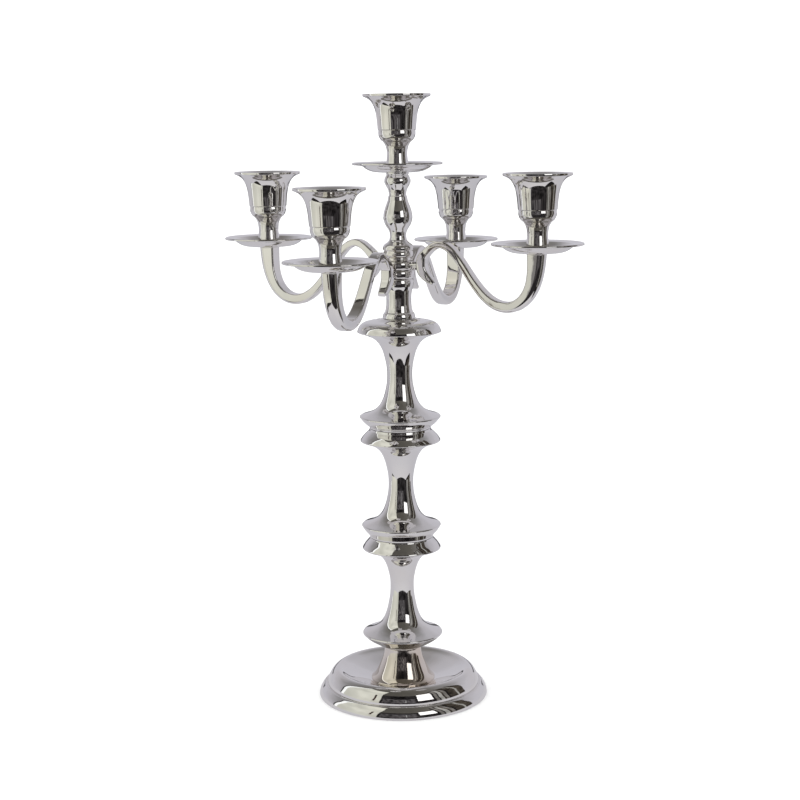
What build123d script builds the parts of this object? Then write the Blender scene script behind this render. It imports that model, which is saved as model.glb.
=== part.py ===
from build123d import *
import os

# Five-light tabletop candelabra: turned stem on a dished base, two cast arm pairs, five candle cups.
# Millimetres, +Z up. The origin is the centre of the underside, and the stem's axis is +Z.
# The upper arm pair lies along X and the lower pair along Y.

# ---- driving dimensions -------------------------------------------------------------------------
total_height = 430.0          # underside of the felt to the rim of the centre cup
base_radius = 61.0
arm_reach = 103.3             # stem axis to the axis of a side cup
pair_drop = 6.2               # the lower arm pair sits this far below the upper one

candle_bore_radius = 11.25    # takes a 22 mm candle
rod_radius = 3.0              # the tie rod, an M6 thread
rod_clearance = 3.3           # hole for the rod in the clamped castings
swivel_bore = 3.06            # hole for the rod in its nut and in the pieces that turn on it
stud_radius = 2.5             # the studs under the cups, M5
stud_bore = 2.56
pan_hole = 2.8

# ---- heights of the stack on the stem, from the table up ----------------------------------------
felt_thickness = 0.8
plate_top = 2.0
neck_foot = 11.2              # the base neck stands on the dished base here
neck_top = 35.0
lower_seam = 117.2            # lower spool meets middle spool
upper_seam = 196.5            # middle spool meets upper spool
column_foot = 274.6
column_top = 303.0
hub_height = 5.8
hub_radius = 11.2
lower_hub = column_top
upper_hub = lower_hub + pair_drop
cap_foot = upper_hub + hub_height
baluster_foot = 329.6

# ---- candle cup and drip pan --------------------------------------------------------------------
cup_height = 52.3             # from the pan's floor to the cup's rim
pan_floor = 1.3               # thickness of the pan at its middle
cup_floor = 26.0              # the candle stands this far above the pan's floor
bore_top = 42.5               # the straight bore ends and the mouth starts to flare
pan_radius = 31.5
stud_up = 18.0                # how far the stud reaches into the cup
stud_down = 8.0               # how far it reaches below the pan

baluster_top = total_height - cup_height - pan_floor
arm_top = 322.9               # where an upper arm carries its pan

os.makedirs("parts", exist_ok=True)


def flare(waist_radius, waist_height, rim_radius, rim_height):
    """Points of the concave sweep from a spool's waist out to the rim of one of its discs."""
    shape = ((0.0, 1.0), (0.06, 0.67), (0.18, 0.42), (0.39, 0.21), (0.68, 0.07), (1.0, 0.0))
    width = rim_radius - waist_radius
    height = waist_height - rim_height
    return [(waist_radius + width * out, rim_height + height * up) for out, up in shape]


# ---- base ---------------------------------------------------------------------------------------
shell_wall = 1.8
groove_radius = 55.2          # the line between the base's outer bead and its shoulder
groove_height = 8.3
ridge_radius = 46.5
ridge_height = 19.2

with BuildPart() as base_shell:
    with BuildSketch(Plane.XZ):
        with BuildLine():
            Line((rod_clearance, neck_foot), (24.0, neck_foot))
            Spline(
                (24.0, neck_foot), (36.0, 14.6), (ridge_radius, ridge_height),
                tangents=((1, 0.05), (1, 0)),
            )
            Spline(
                (ridge_radius, ridge_height), (52.0, 16.0), (groove_radius, groove_height),
                tangents=((1, 0), (0.2, -1)),
            )
            Line((groove_radius, groove_height), (groove_radius + 1.0, groove_height + 0.2))
            Spline(
                (groove_radius + 1.0, groove_height + 0.2), (59.6, 4.9), (base_radius, 0.4),
                tangents=((1, 0), (0, -1)),
            )
            Line((base_radius, 0.4), (base_radius - shell_wall, 0.4))
            Spline(
                (base_radius - shell_wall, 0.4), (57.2, 4.9), (groove_radius - shell_wall, 7.0),
                tangents=((0, 1), (-1, 0.2)),
            )
            Spline(
                (groove_radius - shell_wall, 7.0), (50.4, 14.6), (ridge_radius, ridge_height - shell_wall),
                tangents=((-0.2, 1), (-1, 0)),
            )
            Spline(
                (ridge_radius, ridge_height - shell_wall), (36.6, 12.9), (24.0, neck_foot - shell_wall),
                tangents=((-1, 0), (-1, -0.05)),
            )
            Line((24.0, neck_foot - shell_wall), (rod_clearance, neck_foot - shell_wall))
            Line((rod_clearance, neck_foot - shell_wall), (rod_clearance, neck_foot))
        make_face()
    revolve(axis=Axis.Z)
base_shell.part.label = "base_shell"
export_step(base_shell.part, "parts/base_shell.step")

with BuildPart() as felt_pad:
    with BuildSketch():
        Circle(base_radius - shell_wall - 0.6)
    extrude(amount=felt_thickness)
    fillet(felt_pad.edges(), 0.3)
felt_pad.part.label = "felt_pad"
export_step(felt_pad.part, "parts/felt_pad.step")

with BuildPart() as base_plate:
    with BuildSketch(Plane.XY.offset(felt_thickness)):
        Circle(base_radius - shell_wall - 0.8)
    extrude(amount=plate_top - felt_thickness)
    chamfer(base_plate.edges().group_by(Axis.Z)[-1], 0.4)
base_plate.part.label = "base_plate"
export_step(base_plate.part, "parts/base_plate.step")

washer_height = 1.6
nut_height = 4.6
nut_foot = neck_foot - shell_wall - washer_height - nut_height

with BuildPart() as base_washer:
    with BuildSketch(Plane.XY.offset(nut_foot + nut_height)):
        Circle(9.0)
        Circle(rod_clearance, mode=Mode.SUBTRACT)
    extrude(amount=washer_height)
base_washer.part.label = "base_washer"
export_step(base_washer.part, "parts/base_washer.step")

with BuildPart() as base_nut:
    with BuildSketch(Plane.XY.offset(nut_foot)):
        RegularPolygon(radius=5.0, side_count=6, major_radius=False)
        Circle(swivel_bore, mode=Mode.SUBTRACT)
    extrude(amount=nut_height)
base_nut.part.label = "base_nut"
export_step(base_nut.part, "parts/base_nut.step")

rod_foot = nut_foot - 0.6
rod_top = 348.0

with BuildPart() as tie_rod:
    with BuildSketch(Plane.XY.offset(rod_foot)):
        Circle(rod_radius)
    extrude(amount=rod_top - rod_foot)
    chamfer(tie_rod.edges().filter_by(GeomType.CIRCLE), 0.5)
tie_rod.part.label = "tie_rod"
export_step(tie_rod.part, "parts/tie_rod.step")

with BuildPart() as base_neck:
    with BuildSketch(Plane.XZ):
        with BuildLine():
            Line((rod_clearance, neck_foot), (23.2, neck_foot))
            ThreePointArc((23.2, neck_foot), (23.6, neck_foot + 0.5), (23.3, neck_foot + 1.0))
            Spline(
                (23.3, neck_foot + 1.0), (19.6, 16.0), (15.4, 24.0), (12.8, neck_top),
                tangents=((-0.6, 0.8), (-0.08, 1)),
            )
            Line((12.8, neck_top), (rod_clearance, neck_top))
            Line((rod_clearance, neck_top), (rod_clearance, neck_foot))
        make_face()
    revolve(axis=Axis.Z)
base_neck.part.label = "base_neck"
export_step(base_neck.part, "parts/base_neck.step")

# ---- the three spools of the stem ---------------------------------------------------------------
lower_band = 22.8             # radius of the plain band where the lower and middle spools meet
upper_band = 21.9             # the same, between the middle and upper spools
band_edge = 0.9               # height of each half of a band
rim_edge = 1.0                # height of a disc's rounded rim

with BuildPart() as lower_spool:
    waist_radius = 8.45
    waist_height = 81.0
    foot_rim = 28.7
    foot_rim_height = 45.3
    head_rim = 28.1
    head_rim_height = 108.7
    with BuildSketch(Plane.XZ):
        with BuildLine():
            Line((rod_clearance, neck_top), (13.0, neck_top))
            Spline(
                (13.0, neck_top), (24.0, 40.9), (foot_rim - 0.3, foot_rim_height - 0.2),
                tangents=((1, 0.35), (0.5, 1)),
            )
            ThreePointArc(
                (foot_rim - 0.3, foot_rim_height - 0.2),
                (foot_rim, foot_rim_height + rim_edge / 2),
                (foot_rim - 0.5, foot_rim_height + rim_edge),
            )
            Spline(
                flare(waist_radius, waist_height, foot_rim - 0.5, foot_rim_height + rim_edge)[::-1],
                tangents=((-1, 0.25), (0, 1)),
            )
            Spline(
                flare(waist_radius, waist_height, head_rim - 0.5, head_rim_height - rim_edge / 2),
                tangents=((0, 1), (1, 0.25)),
            )
            ThreePointArc(
                (head_rim - 0.5, head_rim_height - rim_edge / 2),
                (head_rim, head_rim_height + 0.2),
                (head_rim - 0.2, head_rim_height + rim_edge),
            )
            ThreePointArc(
                (head_rim - 0.2, head_rim_height + rim_edge),
                (26.3, 112.3),
                (lower_band, lower_seam - band_edge),
            )
            Line((lower_band, lower_seam - band_edge), (lower_band, lower_seam))
            Line((lower_band, lower_seam), (rod_clearance, lower_seam))
            Line((rod_clearance, lower_seam), (rod_clearance, neck_top))
        make_face()
    revolve(axis=Axis.Z)
lower_spool.part.label = "lower_spool"
export_step(lower_spool.part, "parts/lower_spool.step")

with BuildPart() as middle_spool:
    waist_radius = 8.85
    waist_height = 156.5
    foot_rim = 28.2
    foot_rim_height = 125.4
    head_rim = 28.4
    head_rim_height = 187.2
    with BuildSketch(Plane.XZ):
        with BuildLine():
            Line((rod_clearance, lower_seam), (lower_band, lower_seam))
            Line((lower_band, lower_seam), (lower_band, lower_seam + band_edge))
            ThreePointArc(
                (lower_band, lower_seam + band_edge),
                (26.3, 122.4),
                (foot_rim - 0.2, foot_rim_height - rim_edge / 2),
            )
            ThreePointArc(
                (foot_rim - 0.2, foot_rim_height - rim_edge / 2),
                (foot_rim, foot_rim_height + 0.2),
                (foot_rim - 0.5, foot_rim_height + rim_edge),
            )
            Spline(
                flare(waist_radius, waist_height, foot_rim - 0.5, foot_rim_height + rim_edge)[::-1],
                tangents=((-1, 0.25), (0, 1)),
            )
            Spline(
                flare(waist_radius, waist_height, head_rim - 0.5, head_rim_height - rim_edge / 2),
                tangents=((0, 1), (1, 0.25)),
            )
            ThreePointArc(
                (head_rim - 0.5, head_rim_height - rim_edge / 2),
                (head_rim, head_rim_height + 0.2),
                (head_rim - 0.2, head_rim_height + rim_edge),
            )
            ThreePointArc(
                (head_rim - 0.2, head_rim_height + rim_edge),
                (26.0, 191.0),
                (upper_band, upper_seam - band_edge),
            )
            Line((upper_band, upper_seam - band_edge), (upper_band, upper_seam))
            Line((upper_band, upper_seam), (rod_clearance, upper_seam))
            Line((rod_clearance, upper_seam), (rod_clearance, lower_seam))
        make_face()
    revolve(axis=Axis.Z)
middle_spool.part.label = "middle_spool"
export_step(middle_spool.part, "parts/middle_spool.step")

with BuildPart() as upper_spool:
    waist_radius = 8.85
    waist_height = 234.5
    foot_rim = 28.7
    foot_rim_height = 204.2
    crown_rim = 29.6
    crown_rim_height = 265.2
    with BuildSketch(Plane.XZ):
        with BuildLine():
            Line((rod_clearance, upper_seam), (upper_band, upper_seam))
            Line((upper_band, upper_seam), (upper_band, upper_seam + band_edge))
            ThreePointArc(
                (upper_band, upper_seam + band_edge),
                (26.1, 201.1),
                (foot_rim - 0.2, foot_rim_height - rim_edge / 2),
            )
            ThreePointArc(
                (foot_rim - 0.2, foot_rim_height - rim_edge / 2),
                (foot_rim, foot_rim_height + 0.2),
                (foot_rim - 0.5, foot_rim_height + rim_edge),
            )
            Spline(
                flare(waist_radius, waist_height, foot_rim - 0.5, foot_rim_height + rim_edge)[::-1],
                tangents=((-1, 0.25), (0, 1)),
            )
            Spline(
                flare(waist_radius, waist_height, crown_rim - 0.6, crown_rim_height - 0.6),
                tangents=((0, 1), (1, 0.25)),
            )
            ThreePointArc(
                (crown_rim - 0.6, crown_rim_height - 0.6),
                (crown_rim, crown_rim_height),
                (crown_rim - 0.1, crown_rim_height + 0.7),
            )
            Spline(
                (crown_rim - 0.1, crown_rim_height + 0.7), (27.4, 270.0), (24.0, 272.0),
                tangents=((-0.1, 1), (-1, 0.15)),
            )
            Spline(
                (24.0, 272.0), (16.0, 273.1), (12.4, column_foot),
                tangents=((-1, 0.15), (-0.7, 0.7)),
            )
            Line((12.4, column_foot), (rod_clearance, column_foot))
            Line((rod_clearance, column_foot), (rod_clearance, upper_seam))
        make_face()
    revolve(axis=Axis.Z)
upper_spool.part.label = "upper_spool"
export_step(upper_spool.part, "parts/upper_spool.step")

with BuildPart() as socket_column:
    with BuildSketch(Plane.XZ):
        with BuildLine():
            Line((rod_clearance, column_foot), (11.0, column_foot))
            Line((11.0, column_foot), (10.7, 278.6))
            Line((10.7, 278.6), (9.9, 279.1))
            Spline(
                (9.9, 279.1), (8.75, 284.5), (8.75, 291.0), (10.2, 297.0),
                tangents=((-0.4, 1), (0.5, 1)),
            )
            Line((10.2, 297.0), (10.2, column_top - 1.0))
            ThreePointArc((10.2, column_top - 1.0), (9.9, column_top - 0.3), (9.2, column_top))
            Line((9.2, column_top), (rod_clearance, column_top))
            Line((rod_clearance, column_top), (rod_clearance, column_foot))
        make_face()
    revolve(axis=Axis.Z)
socket_column.part.label = "socket_column"
export_step(socket_column.part, "parts/socket_column.step")

# ---- arms ---------------------------------------------------------------------------------------
# Centre line of one arm in the XZ plane, from the tip of its tail, past the hub and over the
# crest, down to the bottom of the U and up to the pan.
scroll_points = (
    (28.0, 299.9),
    (21.6, 304.9),
    (17.0, 312.0),
    (18.6, 320.0),
    (30.0, 327.3),
    (43.2, 320.9),
    (62.4, 295.6),
    (80.6, 284.9),
    (90.0, 287.0),
    (97.9, 295.6),
    (102.0, 304.5),
    (arm_reach, 314.0),
)
# Thickness of the arm at shares of the way along its centre line.
scroll_thickness = (
    (0.0, 3.0),
    (0.08, 6.6),
    (0.14, 8.0),
    (0.18, 6.8),
    (0.24, 4.9),
    (0.50, 5.8),
    (0.68, 7.2),
    (0.82, 8.2),
    (0.93, 10.8),
    (1.0, 12.0),
)
outline_steps = 28
arm_root_width = 7.6
arm_end_width = 11.4
arm_edge = 1.1                # rounding of the arm's long edges


def thickness_at(share):
    """Thickness of the arm at a share of the way along its centre line."""
    for (low, thin), (high, thick) in zip(scroll_thickness, scroll_thickness[1:]):
        if share <= high:
            return thin + (thick - thin) * (share - low) / (high - low)
    return scroll_thickness[-1][1]


def scroll_side(centre_line, side):
    """Points along one side of the arm, in the XZ plane; side is +1 or -1."""
    points = []
    for step in range(outline_steps + 1):
        share = step / outline_steps
        centre = centre_line @ share
        along = centre_line % share
        reach = side * thickness_at(share) / 2
        points.append((centre.X - along.Y * reach, centre.Y + along.X * reach))
    return points


with BuildLine() as scroll:
    Spline(scroll_points)
    Line(scroll_points[-1], (arm_reach, arm_top))

outer_side = scroll_side(scroll.line, 1)
inner_side = scroll_side(scroll.line, -1)

with BuildPart() as single_arm:
    with BuildSketch(Plane.XZ):
        with BuildLine():
            Spline(outer_side)
            Line(outer_side[-1], inner_side[-1])
            Spline(inner_side)
            ThreePointArc(inner_side[0], (29.3, 298.7), outer_side[0])
        make_face()
    extrude(amount=arm_end_width / 2, both=True)
    with BuildSketch(Plane.XY.offset(280.0)):
        Polygon(
            (hub_radius, -arm_root_width / 2),
            (arm_reach + 8.0, -arm_end_width / 2),
            (arm_reach + 8.0, arm_end_width / 2),
            (hub_radius, arm_root_width / 2),
            align=None,
        )
    extrude(amount=60.0, mode=Mode.INTERSECT)
    fillet(single_arm.faces().filter_by(GeomType.PLANE).sort_by(Axis.Y)[0].edges(), arm_edge)
    fillet(single_arm.faces().filter_by(GeomType.PLANE).sort_by(Axis.Y)[-1].edges(), arm_edge)

with BuildPart() as upper_arm_pair:
    add(single_arm.part)
    with BuildSketch(Plane.XY.offset(upper_hub)):
        with Locations((hub_radius, 0)):
            Rectangle(8.0, 7.0)
    extrude(amount=hub_height)
    mirror(about=Plane.YZ)
    with BuildSketch(Plane.XY.offset(upper_hub)):
        Circle(hub_radius)
    extrude(amount=hub_height)
    with BuildSketch(Plane.XY.offset(upper_hub)):
        Circle(swivel_bore)
    extrude(amount=hub_height, mode=Mode.SUBTRACT)
    with BuildSketch(Plane.XY.offset(arm_top)):
        with Locations((arm_reach, 0), (-arm_reach, 0)):
            Circle(stud_bore)
    extrude(amount=-stud_down - 1.0, mode=Mode.SUBTRACT)
upper_arm_pair.part.label = "upper_arm_pair"
export_step(upper_arm_pair.part, "parts/upper_arm_pair.step")

# The lower pair is the same casting, turned a quarter and dropped.
lower_arm_pair = upper_arm_pair.part.moved(Location((0, 0, -pair_drop), (0, 0, 90)))
lower_arm_pair.label = "lower_arm_pair"
export_step(lower_arm_pair, "parts/lower_arm_pair.step")

with BuildPart() as hub_washer:
    with BuildSketch(Plane.XY.offset(lower_hub + hub_height)):
        Circle(hub_radius - 1.6)
        Circle(swivel_bore, mode=Mode.SUBTRACT)
    extrude(amount=pair_drop - hub_height)
hub_washer.part.label = "hub_washer"
export_step(hub_washer.part, "parts/hub_washer.step")

# ---- bell cap and baluster ----------------------------------------------------------------------
with BuildPart() as bell_cap:
    with BuildSketch(Plane.XZ):
        with BuildLine():
            Line((swivel_bore, cap_foot), (8.4, cap_foot))
            Line((8.4, cap_foot), (8.4, cap_foot + 2.2))
            ThreePointArc((8.4, cap_foot + 2.2), (10.7, cap_foot + 4.8), (9.9, cap_foot + 7.4))
            Line((9.9, cap_foot + 7.4), (10.7, cap_foot + 8.0))
            Line((10.7, cap_foot + 8.0), (10.7, cap_foot + 9.3))
            Spline(
                (10.7, cap_foot + 9.3), (8.2, cap_foot + 12.4), (6.2, baluster_foot),
                tangents=((-0.5, 1), (-0.2, 1)),
            )
            Line((6.2, baluster_foot), (swivel_bore, baluster_foot))
            Line((swivel_bore, baluster_foot), (swivel_bore, cap_foot))
        make_face()
    revolve(axis=Axis.Z)
bell_cap.part.label = "bell_cap"
export_step(bell_cap.part, "parts/bell_cap.step")

with BuildPart() as baluster:
    with BuildSketch(Plane.XZ):
        with BuildLine():
            Line((0, rod_top + 2.0), (swivel_bore, rod_top + 2.0))
            Line((swivel_bore, rod_top + 2.0), (swivel_bore, baluster_foot))
            Line((swivel_bore, baluster_foot), (6.2, baluster_foot))
            Spline(
                (6.2, baluster_foot), (5.75, 332.8), (8.1, 339.0), (10.15, 345.6), (8.6, 352.6),
                (6.6, 357.4),
                tangents=((-0.3, 1), (-0.3, 1)),
            )
            Line((6.6, 357.4), (6.5, 359.8))
            Line((6.5, 359.8), (6.0, 360.6))
            Spline((6.0, 360.6), (6.5, 364.0), (8.2, 367.0), tangents=((0, 1), (0.9, 0.6)))
            ThreePointArc((8.2, 367.0), (9.15, 370.2), (7.4, 374.2))
            Line((7.4, 374.2), (7.4, 375.2))
            Line((7.4, 375.2), (8.0, 375.6))
            Line((8.0, 375.6), (8.0, baluster_top))
            Line((8.0, baluster_top), (stud_bore, baluster_top))
            Line((stud_bore, baluster_top), (stud_bore, baluster_top - stud_down - 1.0))
            Line((stud_bore, baluster_top - stud_down - 1.0), (0, baluster_top - stud_down - 1.0))
            Line((0, baluster_top - stud_down - 1.0), (0, rod_top + 2.0))
        make_face()
    revolve(axis=Axis.Z)
baluster.part.label = "baluster"
export_step(baluster.part, "parts/baluster.step")

# ---- drip pans, cups and studs, each drawn about its own seat on top of a stud's support --------
with BuildPart() as drip_pan:
    brim_inner = 24.0
    brim_under = 5.2              # underside of the brim at its edge, above the pan's own underside
    brim_top = 6.9
    with BuildSketch(Plane.XZ):
        with BuildLine():
            Line((pan_hole, 0), (12.0, 0))
            Spline((12.0, 0), (19.4, 1.2), (brim_inner, 4.2), tangents=((1, 0), (0.7, 0.6)))
            Line((brim_inner, 4.2), (pan_radius - 0.5, brim_under))
            ThreePointArc(
                (pan_radius - 0.5, brim_under),
                (pan_radius, (brim_under + brim_top) / 2),
                (pan_radius - 0.5, brim_top),
            )
            Line((pan_radius - 0.5, brim_top), (brim_inner - 0.4, 5.9))
            Spline(
                (brim_inner - 0.4, 5.9), (18.8, 2.8), (11.6, pan_floor),
                tangents=((-0.7, -0.6), (-1, 0)),
            )
            Line((11.6, pan_floor), (pan_hole, pan_floor))
            Line((pan_hole, pan_floor), (pan_hole, 0))
        make_face()
    revolve(axis=Axis.Z)

with BuildPart() as candle_cup:
    foot = pan_floor
    rim = pan_floor + cup_height
    with BuildSketch(Plane.XZ):
        with BuildLine():
            Line((stud_bore, foot), (7.8, foot))
            Spline(
                (7.8, foot), (7.05, foot + 10.5), (8.0, foot + 16.8), (11.2, foot + 21.6),
                tangents=((-0.25, 1), (0.85, 0.6)),
            )
            Spline(
                (11.2, foot + 21.6), (12.5, foot + 24.2), (12.95, foot + 27.2),
                tangents=((0.8, 0.6), (0.05, 1)),
            )
            Line((12.95, foot + 27.2), (13.2, foot + 27.6))
            Spline(
                (13.2, foot + 27.6), (14.1, foot + 36.0), (15.8, foot + 43.8), (18.6, foot + 47.8),
                (22.0, rim - 2.4),
                tangents=((0.06, 1), (1, 0.35)),
            )
            ThreePointArc((22.0, rim - 2.4), (23.2, rim - 1.8), (23.6, rim - 0.7))
            ThreePointArc((23.6, rim - 0.7), (23.4, rim - 0.2), (22.9, rim))
            Line((22.9, rim), (20.6, rim))
            Spline(
                (20.6, rim), (14.6, foot + 48.2), (candle_bore_radius, foot + bore_top),
                tangents=((-1, -0.2), (0, -1)),
            )
            Line((candle_bore_radius, foot + bore_top), (candle_bore_radius, foot + cup_floor))
            Line((candle_bore_radius, foot + cup_floor), (0, foot + cup_floor))
            Line((0, foot + cup_floor), (0, foot + stud_up + 1.0))
            Line((0, foot + stud_up + 1.0), (stud_bore, foot + stud_up + 1.0))
            Line((stud_bore, foot + stud_up + 1.0), (stud_bore, foot))
        make_face()
    revolve(axis=Axis.Z)

with BuildPart() as cup_stud:
    with BuildSketch(Plane.XY.offset(-stud_down)):
        Circle(stud_radius)
    extrude(amount=stud_down + pan_floor + stud_up)
    chamfer(cup_stud.edges().filter_by(GeomType.CIRCLE), 0.4)

seats = {
    "centre": (0, 0, baluster_top),
    "right": (arm_reach, 0, arm_top),
    "left": (-arm_reach, 0, arm_top),
    "front": (0, -arm_reach, arm_top - pair_drop),
    "back": (0, arm_reach, arm_top - pair_drop),
}
lights = {"drip_pan": drip_pan.part, "candle_cup": candle_cup.part, "cup_stud": cup_stud.part}

for seat_name, seat in seats.items():
    for piece_name, piece in lights.items():
        placed = piece.moved(Location(seat))
        placed.label = f"{piece_name}_{seat_name}"
        export_step(placed, f"parts/{placed.label}.step")
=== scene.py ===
"""Looks for the tabletop candelabra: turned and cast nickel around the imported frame, in a pale studio.

Outlines are in millimetres, (radius, height) for turned pieces, and become metres when a mesh is made.
"""

import math

import bmesh
import bpy
import numpy as np
from mathutils import Matrix, Vector


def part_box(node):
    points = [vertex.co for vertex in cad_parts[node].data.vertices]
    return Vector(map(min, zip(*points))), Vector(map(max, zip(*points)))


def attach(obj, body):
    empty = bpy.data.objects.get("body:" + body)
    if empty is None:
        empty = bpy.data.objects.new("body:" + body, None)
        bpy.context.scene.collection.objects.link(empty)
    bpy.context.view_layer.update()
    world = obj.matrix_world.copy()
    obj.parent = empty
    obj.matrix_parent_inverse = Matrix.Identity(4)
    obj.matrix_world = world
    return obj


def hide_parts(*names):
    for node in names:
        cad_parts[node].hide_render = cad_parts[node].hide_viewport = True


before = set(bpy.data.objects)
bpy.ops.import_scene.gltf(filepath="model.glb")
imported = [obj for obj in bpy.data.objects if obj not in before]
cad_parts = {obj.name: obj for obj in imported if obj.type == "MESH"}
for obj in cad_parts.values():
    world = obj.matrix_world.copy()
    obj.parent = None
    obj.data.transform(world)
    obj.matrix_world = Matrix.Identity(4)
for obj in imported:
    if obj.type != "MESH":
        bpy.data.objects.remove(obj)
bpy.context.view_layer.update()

MM = 0.001
SEATS = ("centre", "right", "left", "front", "back")

# Radii of the hollows, in mm.
ROD_HOLE = 3.3
SWIVEL_HOLE = 3.06
STUD_HOLE = 2.6
PAN_HOLE = 2.8
CANDLE_BORE = 11.3
AXIS = 0.05                   # an outline keeps this far from its axis, so a pin-hole stays there

WELD = 1e-7                   # vertices closer than this, in metres, become one
TURNED_STEPS = 160            # facets round a turned piece
HUB_STEPS = 96                # facets round the hub of an arm pair


# ---- smooth lines -------------------------------------------------------------------------------
def curve(points, spacing=0.7):
    """A smooth line (natural cubic spline) through points, sampled about every `spacing` mm."""
    knots = np.array(points, float)
    gaps = np.linalg.norm(np.diff(knots, axis=0), axis=1)
    along = np.concatenate(([0.0], np.cumsum(gaps)))
    count = len(knots)
    system = np.eye(count)
    target = np.zeros_like(knots)
    for i in range(1, count - 1):
        before, after = gaps[i - 1], gaps[i]
        system[i, i - 1] = before
        system[i, i] = 2 * (before + after)
        system[i, i + 1] = after
        target[i] = 6 * ((knots[i + 1] - knots[i]) / after - (knots[i] - knots[i - 1]) / before)
    bend = np.linalg.solve(system, target)
    steps = max(2, int(math.ceil(along[-1] / spacing)))
    line = []
    for place in np.linspace(0.0, along[-1], steps + 1):
        i = min(int(np.searchsorted(along, place, side="right")) - 1, count - 2)
        gap = gaps[i]
        left, right = along[i + 1] - place, place - along[i]
        point = (
            (bend[i] * left**3 + bend[i + 1] * right**3) / (6 * gap)
            + (knots[i] / gap - bend[i] * gap / 6) * left
            + (knots[i + 1] / gap - bend[i + 1] * gap / 6) * right
        )
        line.append(point)
    return line


def outline(start, *runs, edge=0.25, spacing=0.7):
    """Joins smooth runs into one line and rounds the corner between two runs by about `edge` mm.

    The line begins at `start`, and each run goes on from the last point of the one before.
    """
    line = [np.array(start, float)]
    corners = set()
    for run in runs:
        corners.add(len(line) - 1)
        line.extend(curve([line[-1], *run], spacing)[1:])
    corners.remove(0)         # the start of the line isn't between two runs
    rounded = []
    for i, point in enumerate(line):
        if i not in corners:
            rounded.append(point)
            continue
        back, ahead = line[i - 1] - point, line[i + 1] - point
        first = point + back * min(0.45, edge / max(np.linalg.norm(back), 1e-9))
        last = point + ahead * min(0.45, edge / max(np.linalg.norm(ahead), 1e-9))
        for share in (0.0, 0.25, 0.5, 0.75, 1.0):
            rounded.append((1 - share) ** 2 * first + 2 * share * (1 - share) * point + share**2 * last)
    return rounded


def bored(hole, start, *runs):
    """Outline of a turned piece with two flat faces and a straight bore of radius `hole`.

    The runs draw what lies between the flat faces, from `start` on the first to a point on the second.
    """
    first, second = start[1], runs[-1][-1][1]
    return outline((hole, first), [start], *runs, [(hole, second)], [(hole, first)])


# ---- meshes -------------------------------------------------------------------------------------
def finish_mesh(name, bm):
    """Turns a bmesh into a smooth-shaded object."""
    bmesh.ops.remove_doubles(bm, verts=bm.verts, dist=WELD)
    bmesh.ops.recalc_face_normals(bm, faces=bm.faces)
    mesh = bpy.data.meshes.new(name)
    bm.to_mesh(mesh)
    bm.free()
    for face in mesh.polygons:
        face.use_smooth = True
    piece = bpy.data.objects.new(name, mesh)
    bpy.context.scene.collection.objects.link(piece)
    return piece


def bridge(bm, low, high):
    """Faces between two rings of vertices."""
    for k in range(len(low)):
        n = (k + 1) % len(low)
        bm.faces.new((low[k], low[n], high[n], high[k]))


def loft(bm, rings):
    """Skins a row of rings and closes its two ends."""
    for low, high in zip(rings, rings[1:]):
        bridge(bm, low, high)
    bm.faces.new(rings[0][::-1])
    bm.faces.new(rings[-1])


def spin(bm, line, place, around):
    """Spins a closed outline about the upright axis of the matrix `place`."""
    rings = []
    for radius, height in line:
        ring = []
        for k in range(around):
            angle = 2 * math.pi * k / around
            point = Vector((radius * math.cos(angle), radius * math.sin(angle), height))
            ring.append(bm.verts.new(place @ (point * MM)))
        rings.append(ring)
    for low, high in zip(rings, rings[1:] + rings[:1]):
        bridge(bm, low, high)


def turned(name, line, foot=(0.0, 0.0, 0.0)):
    """A turned object on an upright axis; the heights in its outline count from `foot`, in metres."""
    bm = bmesh.new()
    spin(bm, line, Matrix.Translation(foot), TURNED_STEPS)
    return finish_mesh(name, bm)


# ---- materials ----------------------------------------------------------------------------------
def new_material(name):
    """A material with its nodes and its links."""
    material = bpy.data.materials.new(name)
    material.use_nodes = True
    return material, material.node_tree.nodes, material.node_tree.links


def noise(nodes, links, vector, scale, detail=2.0, stretch=None):
    """A noise texture in object space, stretched by `stretch` where it is given."""
    texture = nodes.new("ShaderNodeTexNoise")
    texture.inputs["Scale"].default_value = scale
    texture.inputs["Detail"].default_value = detail
    if stretch:
        mapping = nodes.new("ShaderNodeMapping")
        mapping.inputs["Scale"].default_value = stretch
        links.new(vector, mapping.inputs["Vector"])
        vector = mapping.outputs["Vector"]
    links.new(vector, texture.inputs["Vector"])
    return texture.outputs["Fac"]


def spread(nodes, links, value, low, high):
    """Maps the middle of a noise texture's range onto low to high."""
    node = nodes.new("ShaderNodeMapRange")
    node.inputs["From Min"].default_value = 0.3
    node.inputs["From Max"].default_value = 0.7
    node.inputs["To Min"].default_value = low
    node.inputs["To Max"].default_value = high
    links.new(value, node.inputs["Value"])
    return node.outputs["Result"]


def ramp(nodes, links, value, stops):
    """Colours a value by stops, each a place from 0 to 1 and a colour."""
    node = nodes.new("ShaderNodeValToRGB")
    elements = node.color_ramp.elements
    while len(elements) < len(stops):
        elements.new(0.5)
    for element, (place, colour) in zip(elements, stops):
        element.position = place
        element.color = (*colour, 1.0)
    links.new(value, node.inputs["Fac"])
    return node.outputs["Color"]


def bump(nodes, links, height, strength, distance, under=None):
    """A bump of up to `distance` metres, laid over the one under it."""
    node = nodes.new("ShaderNodeBump")
    node.inputs["Strength"].default_value = strength
    node.inputs["Distance"].default_value = distance
    links.new(height, node.inputs["Height"])
    if under is not None:
        links.new(under, node.inputs["Normal"])
    return node.outputs["Normal"]


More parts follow.
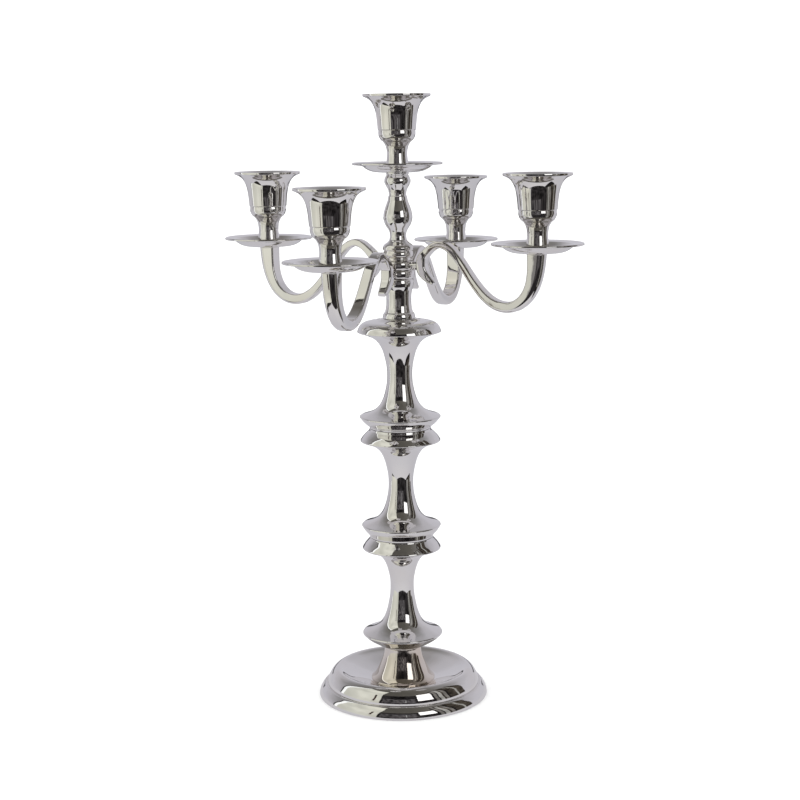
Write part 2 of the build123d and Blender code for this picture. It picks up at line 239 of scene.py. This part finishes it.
def make_nickel(name, waviness, warmth, haze=0.0):
    """Mirror-polished nickel plate: faint hand-polishing waves, fine smears and a warm bloom.

    Warmth takes more from the green and the blue than from the red.
    """
    material, nodes, links = new_material(name)
    shader = nodes["Principled BSDF"]
    shader.inputs["Metallic"].default_value = 1.0
    place = nodes.new("ShaderNodeTexCoord").outputs["Object"]

    bloom = noise(nodes, links, place, 38.0, 3.0)
    tint = ramp(nodes, links, bloom, (
        (0.30, (0.84 - warmth * 0.3, 0.835 - warmth * 0.5, 0.83 - warmth * 0.7)),
        (0.52, (0.87 - warmth * 0.3, 0.86 - warmth * 0.6, 0.85 - warmth * 0.9)),
        (0.75, (0.86 - warmth * 0.6, 0.84 - warmth * 1.1, 0.815 - warmth * 1.5)),
    ))
    links.new(tint, shader.inputs["Base Color"])

    smears = noise(nodes, links, place, 160.0, 4.0, (1.0, 1.0, 0.25))
    links.new(spread(nodes, links, smears, 0.015 + haze, 0.06 + haze), shader.inputs["Roughness"])

    waves = noise(nodes, links, place, 95.0, 1.5)
    scratches = noise(nodes, links, place, 900.0, 2.0, (1.0, 1.0, 6.0))
    wavy = bump(nodes, links, waves, waviness, 0.0004)
    polished = bump(nodes, links, scratches, 0.05, 0.00004, wavy)
    links.new(polished, shader.inputs["Normal"])
    return material


def make_steel():
    """Plain zinc-plated steel for the rod, nut, washers and studs."""
    material, nodes, links = new_material("zinc_steel")
    shader = nodes["Principled BSDF"]
    shader.inputs["Metallic"].default_value = 1.0
    place = nodes.new("ShaderNodeTexCoord").outputs["Object"]
    spangle = noise(nodes, links, place, 420.0, 3.0)
    links.new(ramp(nodes, links, spangle, (
        (0.35, (0.50, 0.50, 0.51)),
        (0.65, (0.63, 0.62, 0.61)),
    )), shader.inputs["Base Color"])
    links.new(spread(nodes, links, spangle, 0.28, 0.45), shader.inputs["Roughness"])
    return material


def make_felt():
    """Black pressed felt: matted fibres with a soft sheen."""
    material, nodes, links = new_material("felt")
    shader = nodes["Principled BSDF"]
    shader.inputs["Roughness"].default_value = 0.95
    shader.inputs["Sheen Weight"].default_value = 0.4
    shader.inputs["Sheen Roughness"].default_value = 0.5
    place = nodes.new("ShaderNodeTexCoord").outputs["Object"]
    fibres = noise(nodes, links, place, 1400.0, 5.0)
    patches = noise(nodes, links, place, 60.0, 2.0)
    mix = nodes.new("ShaderNodeMath")
    mix.operation = "MULTIPLY_ADD"
    mix.inputs[1].default_value = 0.35
    links.new(patches, mix.inputs[0])
    links.new(fibres, mix.inputs[2])
    links.new(ramp(nodes, links, mix.outputs["Value"], (
        (0.45, (0.010, 0.010, 0.012)),
        (0.85, (0.045, 0.044, 0.048)),
    )), shader.inputs["Base Color"])
    links.new(bump(nodes, links, fibres, 0.6, 0.0003), shader.inputs["Normal"])
    return material


turned_nickel = make_nickel("turned_nickel", 0.07, 0.02)
cast_nickel = make_nickel("cast_nickel", 0.18, 0.03)
neck_nickel = make_nickel("neck_nickel", 0.16, 0.22, 0.03)
steel = make_steel()
felt = make_felt()


def dress(piece, material):
    """Gives a piece its only material."""
    piece.data.materials.clear()
    piece.data.materials.append(material)


def stand_for(piece, node, body, material):
    """The piece takes a CAD node's place, riding on its body, and wears the given material."""
    dress(piece, material)
    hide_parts(node)
    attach(piece, body)


# ---- the stem -----------------------------------------------------------------------------------
def base_shell_line():
    """The shell's dish, ridge, groove and outer bead, then its hollow underside."""
    wall = 1.8
    rim = 61.0
    rim_height = 0.4
    return bored(
        ROD_HOLE, (24.0, 11.2),
        [(31.0, 13.5), (38.0, 16.0), (43.6, 18.1), (46.8, 19.25), (49.2, 18.5), (51.5, 16.6),
         (53.4, 13.6), (54.6, 10.9), (55.0, 8.0)],
        [(55.5, 7.9)],
        [(56.1, 8.45), (57.6, 7.45), (59.4, 5.2), (60.6, 2.6), (rim, rim_height)],
        [(rim - wall, rim_height)],
        [(57.4, 4.6), (53.4, 7.0)],
        [(50.6, 14.4), (46.5, 17.4), (37.0, 13.8), (24.0, 9.4)],
    )


def base_neck_line():
    return bored(
        ROD_HOLE, (22.9, 11.2),
        [(23.0, 12.0)],
        [(21.7, 13.0), (18.6, 17.6), (15.7, 23.6), (13.8, 29.2), (12.9, 34.9)],
    )


def sweep_out(waist, rim):
    """Concave sweep from a spool's waist out to the rim of a disc, above or below it."""
    shape = ((0.0, 1.0), (0.012, 0.83), (0.06, 0.65), (0.165, 0.41), (0.38, 0.19), (0.68, 0.07),
             (1.0, 0.0))
    return [
        (waist[0] + (rim[0] - waist[0]) * out, rim[1] + (waist[1] - rim[1]) * up)
        for out, up in shape
    ]


def spool_body(low_rim, waist, high_rim):
    """The whole concave body of a spool, going on from its lower rim to its upper rim."""
    return sweep_out(waist, low_rim)[-2::-1] + sweep_out(waist, high_rim)[1:]


def lower_spool_line():
    low_rim, high_rim = (28.4, 46.1), (27.6, 108.3)
    return bored(
        ROD_HOLE, (13.2, 35.1),
        [(17.8, 37.3), (22.7, 40.2), (26.4, 42.8), (28.3, 44.6)],
        [(28.75, 45.3), low_rim],
        spool_body(low_rim, (8.45, 81.0), high_rim),
        [(28.1, 108.9), (27.9, 109.7)],
        [(26.2, 112.2), (24.6, 114.1), (22.8, 116.3)],
        [(22.6, 117.1)],
    )


def middle_spool_line():
    low_rim, high_rim = (27.7, 126.4), (27.9, 186.8)
    return bored(
        ROD_HOLE, (22.6, 117.3),
        [(22.8, 118.2)],
        [(24.9, 120.7), (26.6, 122.8), (27.9, 124.9)],
        [(28.25, 125.7), low_rim],
        spool_body(low_rim, (8.85, 156.5), high_rim),
        [(28.45, 187.4), (28.2, 188.1)],
        [(26.6, 190.4), (24.4, 192.7), (22.1, 194.8)],
        [(21.8, 196.4)],
    )


def upper_spool_line():
    low_rim, high_rim = (28.2, 205.2), (28.9, 264.8)
    return bored(
        ROD_HOLE, (21.8, 196.6),
        [(22.0, 197.6)],
        [(24.8, 199.8), (26.9, 202.0), (28.4, 203.9)],
        [(28.7, 204.6), low_rim],
        spool_body(low_rim, (8.85, 234.5), high_rim),
        [(29.55, 265.3), (29.4, 266.0)],
        [(28.6, 268.1), (27.1, 270.2), (24.6, 271.8), (20.5, 272.7), (15.0, 273.6), (12.4, 274.6)],
    )


def socket_column_line():
    return bored(
        ROD_HOLE, (11.3, 274.7),
        [(11.35, 276.2), (10.8, 278.2)],
        [(9.9, 279.0)],
        [(9.1, 281.9), (8.75, 285.6), (8.8, 290.0), (9.4, 294.4), (10.3, 297.3)],
        [(10.6, 299.6), (10.2, 301.8)],
        [(9.2, 302.9)],
    )


def bell_cap_line():
    return bored(
        SWIVEL_HOLE, (8.4, 315.1),
        [(8.6, 316.2), (8.5, 317.3)],
        [(10.2, 318.4), (10.6, 320.2), (9.9, 322.2)],
        [(10.75, 323.0)],
        [(10.85, 324.4)],
        [(10.2, 325.9), (8.5, 327.3), (7.1, 328.4), (6.3, 329.5)],
    )


def baluster_line():
    """The baluster has a blind hole at each end, for the rod and for the stud of the centre cup."""
    foot, top = 329.7, 376.3
    rod_end = 349.0
    stud_end = 367.5
    return outline(
        (SWIVEL_HOLE, rod_end),
        [(SWIVEL_HOLE, foot)],
        [(6.2, foot)],
        [(5.7, 332.2), (6.2, 335.8), (8.1, 339.0), (9.7, 342.6), (10.15, 345.8), (9.6, 349.4),
         (8.2, 353.8), (6.9, 357.2)],
        [(6.6, 359.7)],
        [(6.05, 360.5)],
        [(6.2, 363.2), (7.1, 365.6), (8.4, 367.9)],
        [(9.15, 370.2), (8.7, 372.7), (7.5, 374.7)],
        [(7.95, 375.5)],
        [(7.95, top)],
        [(STUD_HOLE, top)],
        [(STUD_HOLE, stud_end)],
        [(AXIS, stud_end)],
        [(AXIS, rod_end)],
        [(SWIVEL_HOLE, rod_end)],
    )


stem_pieces = (
    ("base_shell", base_shell_line, "root", turned_nickel),
    ("base_neck", base_neck_line, "root", neck_nickel),
    ("lower_spool", lower_spool_line, "root", turned_nickel),
    ("middle_spool", middle_spool_line, "root", turned_nickel),
    ("upper_spool", upper_spool_line, "root", turned_nickel),
    ("socket_column", socket_column_line, "root", turned_nickel),
    ("bell_cap", bell_cap_line, "finial", turned_nickel),
    ("baluster", baluster_line, "finial", turned_nickel),
)
for node, line, body, material in stem_pieces:
    stand_for(turned(f"nickel_{node}", line()), node, body, material)


# ---- drip pans and candle cups ------------------------------------------------------------------
def pan_line():
    return bored(
        PAN_HOLE, (13.0, 0.05),
        [(17.0, 0.55), (20.4, 1.7), (22.8, 3.2), (24.2, 4.4)],
        [(27.5, 4.85), (30.9, 5.25)],
        [(31.4, 5.6), (31.5, 6.2), (31.0, 6.85)],
        [(27.5, 6.45), (23.8, 6.0)],
        [(22.0, 4.9), (19.6, 3.3), (16.2, 1.9), (12.4, 1.3)],
    )


def cup_line():
    """The cup has a blind hole for its stud below and the candle's bore above."""
    foot = 0.05
    stud_end = 19.0
    bore_floor = 26.0
    return outline(
        (STUD_HOLE, foot),
        [(7.8, foot)],
        [(7.6, 5.5), (7.1, 10.6), (7.35, 14.4), (8.2, 17.4), (9.6, 19.6)],
        [(11.2, 20.9), (12.35, 22.7), (12.95, 25.0), (12.9, 27.0)],
        [(12.75, 27.4), (13.3, 27.8)],
        [(13.65, 32.0), (14.2, 37.0), (15.1, 41.5), (16.7, 45.4), (19.2, 48.4), (22.4, 50.1)],
        [(23.4, 50.5)],
        [(23.6, 51.3), (23.5, 52.2)],
        [(20.8, 52.2)],
        [(17.6, 50.6), (14.6, 47.6), (12.2, 44.2), (CANDLE_BORE, 41.8)],
        [(CANDLE_BORE, bore_floor)],
        [(AXIS, bore_floor)],
        [(AXIS, stud_end)],
        [(STUD_HOLE, stud_end)],
        [(STUD_HOLE, foot)],
    )


carriers = {"centre": "finial", "right": "upper_arms", "left": "upper_arms",
            "front": "lower_arms", "back": "lower_arms"}
for seat in SEATS:
    pan_low, pan_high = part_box(f"drip_pan_{seat}")
    cup_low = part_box(f"candle_cup_{seat}")[0]
    middle = (pan_low + pan_high) / 2
    pan = turned(f"nickel_drip_pan_{seat}", pan_line(), (middle.x, middle.y, pan_low.z))
    stand_for(pan, f"drip_pan_{seat}", carriers[seat], turned_nickel)
    cup = turned(f"nickel_candle_cup_{seat}", cup_line(), (middle.x, middle.y, cup_low.z))
    stand_for(cup, f"candle_cup_{seat}", f"cup_{seat}", turned_nickel)


# ---- arms ---------------------------------------------------------------------------------------
# Reach and height of the arm's centre line, its thickness, its width and the rounding of its
# outer edges, from the tail's tip to the pan.
ARM_STATIONS = (
    (28.0, 299.9, 2.6, 5.6, 0.9),
    (24.5, 302.2, 4.6, 6.6, 1.3),
    (21.0, 305.4, 6.2, 7.3, 1.5),
    (18.5, 309.3, 6.9, 7.8, 1.6),
    (18.0, 313.5, 6.9, 8.0, 1.6),
    (18.9, 317.6, 6.3, 8.0, 1.6),
    (22.0, 321.3, 5.5, 8.0, 1.4),
    (26.6, 325.2, 5.0, 8.0, 1.3),
    (32.7, 327.1, 5.0, 8.0, 1.3),
    (38.2, 325.2, 5.0, 8.0, 1.3),
    (43.4, 320.6, 5.0, 8.0, 1.3),
    (52.0, 309.1, 5.2, 8.1, 1.4),
    (61.4, 296.6, 5.7, 8.4, 1.6),
    (71.0, 288.2, 6.6, 8.9, 2.1),
    (81.0, 285.3, 7.2, 9.5, 2.6),
    (89.6, 287.4, 7.6, 10.0, 3.0),
    (96.4, 293.4, 8.2, 10.3, 3.4),
    (100.9, 302.6, 9.4, 10.6, 3.9),
    (102.7, 312.0, 10.8, 10.9, 4.2),
    (103.3, 322.8, 12.0, 11.2, 4.4),
)
ARM_SPACING = 1.2             # about this far between the rings of an arm
INNER_EDGE = 1.3              # rounding of an arm's inner edges where it is thick enough
HUB_FOOT = 309.2              # underside of the upper pair's hub
HUB_TOP = 315.0
HUB_RADIUS = 11.2
BLOCK_END = 17.0              # the block between hub and arm reaches this far from the axis
BLOCK_HALF_WIDTH = 3.8
PAIR_DROP = 6.2               # the lower pair sits this far below the upper one


def rounded_rectangle(width, height, radius, left_radius=None, steps=6):
    """Points of a rounded rectangle about (0, 0); its left corners may have a radius of their own."""
    left_radius = radius if left_radius is None else left_radius
    points = []
    for sign_x, sign_y, start in ((1, 1, 0), (-1, 1, 90), (-1, -1, 180), (1, -1, 270)):
        corner = radius if sign_x > 0 else left_radius
        for k in range(steps + 1):
            angle = math.radians(start + 90 * k / steps)
            points.append((
                sign_x * (width / 2 - corner) + corner * math.cos(angle),
                sign_y * (height / 2 - corner) + corner * math.sin(angle),
            ))
    return points


def add_arm(bm, place):
    """Sweeps one arm along its centre line; `place` carries the arm's own plane to the frame."""
    line = curve(ARM_STATIONS, ARM_SPACING)
    rings = []
    for i, (reach, height, thickness, width, outer_edge) in enumerate(line):
        ahead = line[min(i + 1, len(line) - 1)] - line[max(i - 1, 0)]
        along = Vector((ahead[0], 0.0, ahead[1])).normalized()
        across = Vector((-along.z, 0.0, along.x))
        centre = Vector((reach, 0.0, height))
        inner_edge = min(INNER_EDGE, thickness * 0.3)
        ring = []
        for out, side in rounded_rectangle(thickness, width, inner_edge, outer_edge):
            point = centre + across * out + Vector((0.0, side, 0.0))
            ring.append(bm.verts.new(place @ (point * MM)))
        rings.append(ring)
    loft(bm, rings)


def add_block(bm, place, low, high, radius):
    """A box from low to high with rounded upright edges."""
    centre_x, centre_y = (low[0] + high[0]) / 2, (low[1] + high[1]) / 2
    ends = []
    for height in (low[2], high[2]):
        ring = []
        for x, y in rounded_rectangle(high[0] - low[0], high[1] - low[1], radius, steps=2):
            ring.append(bm.verts.new(place @ (Vector((centre_x + x, centre_y + y, height)) * MM)))
        ends.append(ring)
    loft(bm, ends)


def add_hub(bm, place):
    """The short drum that the two arms of a pair grow from."""
    end_radius = HUB_RADIUS - 0.6
    spin(bm, bored(
        SWIVEL_HOLE, (end_radius, HUB_FOOT),
        [(HUB_RADIUS, HUB_FOOT + 1.0), (HUB_RADIUS + 0.2, (HUB_FOOT + HUB_TOP) / 2),
         (HUB_RADIUS, HUB_TOP - 1.0), (end_radius, HUB_TOP)],
    ), place, HUB_STEPS)


def arm_pair(name, turn, drop):
    """A cast pair of arms, turned about the stem and lowered by `drop` mm."""
    bm = bmesh.new()
    move = Matrix.Translation((0.0, 0.0, -drop * MM)) @ Matrix.Rotation(math.radians(turn), 4, "Z")
    for half_turn in (0.0, math.pi):
        place = move @ Matrix.Rotation(half_turn, 4, "Z")
        add_arm(bm, place)
        add_block(
            bm, place,
            (HUB_RADIUS - 2.0, -BLOCK_HALF_WIDTH, HUB_FOOT + 0.2),
            (BLOCK_END, BLOCK_HALF_WIDTH, HUB_TOP - 0.2),
            0.8,
        )
    add_hub(bm, move)
    piece = finish_mesh(name, bm)
    normals = piece.modifiers.new("even_normals", "WEIGHTED_NORMAL")
    normals.weight = 60
    return piece


stand_for(arm_pair("nickel_upper_arm_pair", 0.0, 0.0), "upper_arm_pair", "upper_arms", cast_nickel)
stand_for(arm_pair("nickel_lower_arm_pair", 90.0, PAIR_DROP), "lower_arm_pair", "lower_arms", cast_nickel)


# ---- small pieces that keep their CAD shape -----------------------------------------------------
for node in ("base_plate", "base_washer", "base_nut", "tie_rod", "hub_washer"):
    dress(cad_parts[node], steel)
for seat in SEATS:
    dress(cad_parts[f"cup_stud_{seat}"], steel)
dress(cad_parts["felt_pad"], felt)


# ---- studio -------------------------------------------------------------------------------------
# Distances are in metres and angles in degrees.
CAMERA_AZIMUTH = 25.0         # the camera's bearing; every studio bearing below counts from it
FLOOR_EDGE = 0.35             # the table seen in reflections ends this far in front of the object
TABLE_SIDE = 0.33             # and this far to its left and right
LENS = 74.0                   # mm, on a sensor 36 mm wide
CAMERA_DISTANCE = 1.150
CAMERA_HEIGHT = 0.415
AIM_HEIGHT = 0.2161
CAMERA_ROLL = 0.67
WORLD_STRENGTH = 1.35


def bearing(degrees, distance, height):
    """A point at a bearing from the camera's side of the object; positive is to the right."""
    angle = math.radians(CAMERA_AZIMUTH + degrees)
    return Vector((math.sin(angle) * distance, -math.cos(angle) * distance, height))


def new_glow(name):
    """A light-giving material: its nodes, its links, its shader and its object coordinates."""
    material, nodes, links = new_material(name)
    nodes.remove(nodes["Principled BSDF"])
    glow = nodes.new("ShaderNodeEmission")
    links.new(glow.outputs["Emission"], nodes["Material Output"].inputs["Surface"])
    place = nodes.new("ShaderNodeTexCoord").outputs["Object"]
    return material, nodes, links, glow, place


def glow_material(name, colour, strength, patchy=0.0, scale=3.0):
    """A light-giving surface, with slow changes of brightness across it."""
    material, nodes, links, glow, place = new_glow(name)
    patches = noise(nodes, links, place, scale, 2.0)
    low = tuple(c * (1 - patchy) for c in colour)
    high = tuple(c * (1 + patchy) for c in colour)
    links.new(ramp(nodes, links, patches, ((0.35, low), (0.65, high))), glow.inputs["Color"])
    glow.inputs["Strength"].default_value = strength
    return material


def reflected_only(piece, material):
    """A studio card that shows only in reflections."""
    dress(piece, material)
    piece.visible_camera = False
    piece.visible_diffuse = False
    piece.visible_shadow = False
    piece.visible_transmission = False
    piece.visible_volume_scatter = False


def card(name, start, end, distance, low, high, material):
    """A curved card standing round the object, from one bearing to another."""
    bm = bmesh.new()
    steps = max(2, int(abs(end - start) / 4))
    pairs = []
    for k in range(steps + 1):
        degrees = start + (end - start) * k / steps
        pairs.append((
            bm.verts.new(bearing(degrees, distance, low)),
            bm.verts.new(bearing(degrees, distance, high)),
        ))
    for left, right in zip(pairs, pairs[1:]):
        bm.faces.new((left[0], right[0], right[1], left[1]))
    reflected_only(finish_mesh(name, bm), material)


def make_floor():
    """The pale floor that the camera sees."""
    bm = bmesh.new()
    bmesh.ops.create_circle(bm, cap_ends=True, segments=96, radius=14.0)
    floor = finish_mesh("floor", bm)
    material, nodes, links = new_material("floor")
    shader = nodes["Principled BSDF"]
    shader.inputs["Roughness"].default_value = 0.9
    shader.inputs["Specular IOR Level"].default_value = 0.1
    place = nodes.new("ShaderNodeTexCoord").outputs["Object"]
    grain = noise(nodes, links, place, 4.0, 3.0)
    links.new(ramp(nodes, links, grain, (
        (0.3, (0.93, 0.93, 0.93)),
        (0.7, (0.95, 0.95, 0.95)),
    )), shader.inputs["Base Color"])
    dress(floor, material)
    floor.visible_glossy = False


def graded_glow(name, direction, stops, mottle=0.0):
    """A light-giving surface whose colour changes along a direction, in metres, with soft mottling."""
    material, nodes, links, glow, place = new_glow(name)
    along = nodes.new("ShaderNodeVectorMath")
    along.operation = "DOT_PRODUCT"
    along.inputs[1].default_value = direction
    links.new(place, along.inputs[0])
    mottled = nodes.new("ShaderNodeMath")
    mottled.operation = "MULTIPLY_ADD"
    mottled.inputs[1].default_value = mottle
    links.new(noise(nodes, links, place, 1.6, 3.0), mottled.inputs[0])
    links.new(along.outputs["Value"], mottled.inputs[2])
    first, last = stops[0][0], stops[-1][0]
    span = nodes.new("ShaderNodeMapRange")
    span.inputs["From Min"].default_value = first + mottle / 2
    span.inputs["From Max"].default_value = last + mottle / 2
    links.new(mottled.outputs["Value"], span.inputs["Value"])
    shares = [((place_along - first) / (last - first), colour) for place_along, colour in stops]
    links.new(ramp(nodes, links, span.outputs["Result"], shares), glow.inputs["Color"])
    return material


def make_reflected_floor():
    """The table as the metal sees it: narrow in front and beside the object, wide behind it."""
    far = 2.4
    bm = bmesh.new()
    corners = (
        (TABLE_SIDE, FLOOR_EDGE), (-TABLE_SIDE, FLOOR_EDGE), (-TABLE_SIDE, 0.02),
        (-far, -0.25), (-far, -far), (far, -far), (far, -0.25), (TABLE_SIDE, 0.02),
    )
    bm.faces.new([
        bm.verts.new(bearing(90, right, 0.0) + bearing(0, ahead, 0.0) - Vector((0, 0, 0.0004)))
        for right, ahead in corners
    ])
    reflected_only(
        finish_mesh("table_reflection", bm),
        graded_glow("table_reflection", bearing(0, 1.0, 0.0), (
            (-far, (0.50, 0.495, 0.54)),
            (-0.60, (0.56, 0.555, 0.60)),
            (-0.05, (0.60, 0.59, 0.63)),
            (0.40, (0.70, 0.69, 0.71)),
        ), 0.10),
    )


def make_dome():
    """The room round the object: lavender grey behind, darker and warmer overhead and in front."""
    radius = 3.2
    bm = bmesh.new()
    bmesh.ops.create_icosphere(bm, subdivisions=5, radius=radius)
    reflected_only(
        finish_mesh("room", bm),
        graded_glow("room", bearing(-20, 0.6, 0.8), (
            (-radius, (0.61, 0.605, 0.66)),
            (-0.60, (0.57, 0.56, 0.61)),
            (0.30, (0.47, 0.46, 0.495)),
            (1.28, (0.27, 0.265, 0.27)),
            (2.05, (0.18, 0.172, 0.163)),
            (2.70, (0.12, 0.113, 0.100)),
            (radius, (0.09, 0.085, 0.075)),
        ), 0.8),
    )


def make_left_panel():
    """A tall cream reflector on the left, with a bright edge, a dark frame and a stand before it."""
    cream = glow_material("panel_cream", (0.71, 0.71, 0.635), 1.0, 0.15, 2.2)
    bright = glow_material("panel_edge", (0.98, 1.0, 1.0), 1.15, 0.03)
    frame_dark = glow_material("panel_frame", (0.03, 0.028, 0.026), 1.0, 0.3)
    stand = glow_material("brown_stand", (0.045, 0.026, 0.024), 1.0, 0.7, 14.0)
    outer, frame_inside, edge_inside, right = -104.5, -102, -96.5, -35
    distance = 0.60
    card("panel_left", edge_inside, right, distance, -0.10, 1.25, cream)
    card("panel_left_edge", frame_inside, edge_inside, distance, 0.0, 1.22, bright)
    card("panel_left_rim", outer, frame_inside, distance, 0.0, 1.25, frame_dark)
    card("panel_left_top", outer, right, distance, 1.25, 1.32, frame_dark)
    card("panel_left_shadow", outer, right, 0.61, -0.90, -0.10, frame_dark)
    card("brown_stand", -46.0, -42.8, 0.506, 0.13, 0.37, stand)


def make_front():
    """The dark half of the room, behind the camera, with the white softbox and a bright gap in it."""
    dark = glow_material("dark_side", (0.024, 0.022, 0.023), 1.0, 0.7, 6.0)
    figure = glow_material("dim_figure", (0.085, 0.080, 0.084), 1.0, 0.85, 11.0)
    gap = glow_material("bright_gap", (0.42, 0.42, 0.42), 1.0, 0.2)
    white = glow_material("softbox_white", (1.0, 1.0, 1.0), 1.5, 0.02)
    card("dark_camera_side", -36, 50, 1.0, -1.20, 0.85, dark)
    card("dim_figure", -32, 18, 0.98, 0.10, 0.62, figure)
    card("bright_gap", 3, 4.2, 0.96, 0.17, 0.50, gap)
    card("softbox_right", 22, 46, 0.90, 0.33, 0.80, white)


def make_far_skirting():
    """Low dark lines far behind, which draw the thin dark edges of the upright metal."""
    skirting = glow_material("far_skirting", (0.09, 0.088, 0.095), 1.0, 0.3)
    card("skirting_near", 150, 210, 1.10, 0.0, 0.10, skirting)
    card("skirting_far", 150, 210, 2.30, 0.0, 0.20, skirting)


def make_right_side():
    """Furniture and doors on the right, as upright strips of different greys and browns."""
    shades = {
        "light": glow_material("side_light", (0.40, 0.395, 0.38), 1.0, 0.25, 6.0),
        "grey": glow_material("side_grey", (0.20, 0.19, 0.18), 1.0, 0.35, 6.0),
        "brown": glow_material("side_brown", (0.058, 0.050, 0.041), 1.0, 0.6, 9.0),
        "black": glow_material("side_black", (0.012, 0.011, 0.011), 1.0, 0.3),
    }
    strips = (
        (46, 49, -0.10, 0.85, "black"),
        (49, 54, -0.05, 0.90, "grey"),
        (54, 56, -0.10, 0.95, "black"),
        (56, 62, -0.05, 0.80, "light"),
        (62, 65, -0.10, 0.95, "brown"),
        (65, 70, -0.05, 0.85, "grey"),
        (70, 73, -0.12, 1.00, "black"),
        (73, 86, -0.10, 0.90, "brown"),
        (86, 89, -0.05, 0.80, "light"),
        (89, 101, -0.05, 0.85, "brown"),
    )
    for start, end, low, high, shade in strips:
        card(f"side_{start}_{end}", start, end, 0.62, low, high, shades[shade])
    card("below_the_table", 48, 100, 0.70, -0.90, 0.0, shades["black"])


def make_camera():
    camera = bpy.data.objects.new("camera", bpy.data.cameras.new("camera"))
    bpy.context.scene.collection.objects.link(camera)
    camera.data.sensor_width = 36.0
    camera.data.lens = LENS
    camera.data.clip_start = 0.05
    camera.data.clip_end = 40.0
    camera.location = bearing(0, CAMERA_DISTANCE, CAMERA_HEIGHT)
    aim = Vector((0.0, 0.0, AIM_HEIGHT)) - camera.location
    camera.rotation_mode = "QUATERNION"
    level = aim.to_track_quat("-Z", "Y")
    roll = Matrix.Rotation(math.radians(-CAMERA_ROLL), 3, "Z").to_quaternion()
    camera.rotation_quaternion = level @ roll
    bpy.context.scene.camera = camera


def make_world():
    """Even white light from all round; it is also the plain backdrop."""
    world = bpy.data.worlds.new("white_studio")
    world.use_nodes = True
    background = world.node_tree.nodes["Background"]
    background.inputs["Color"].default_value = (1.0, 1.0, 1.0, 1.0)
    background.inputs["Strength"].default_value = WORLD_STRENGTH
    bpy.context.scene.world = world
    bpy.context.scene.view_settings.view_transform = "Standard"


make_floor()
make_reflected_floor()
make_dome()
make_left_panel()
make_front()
make_right_side()
make_far_skirting()
make_world()
make_camera()
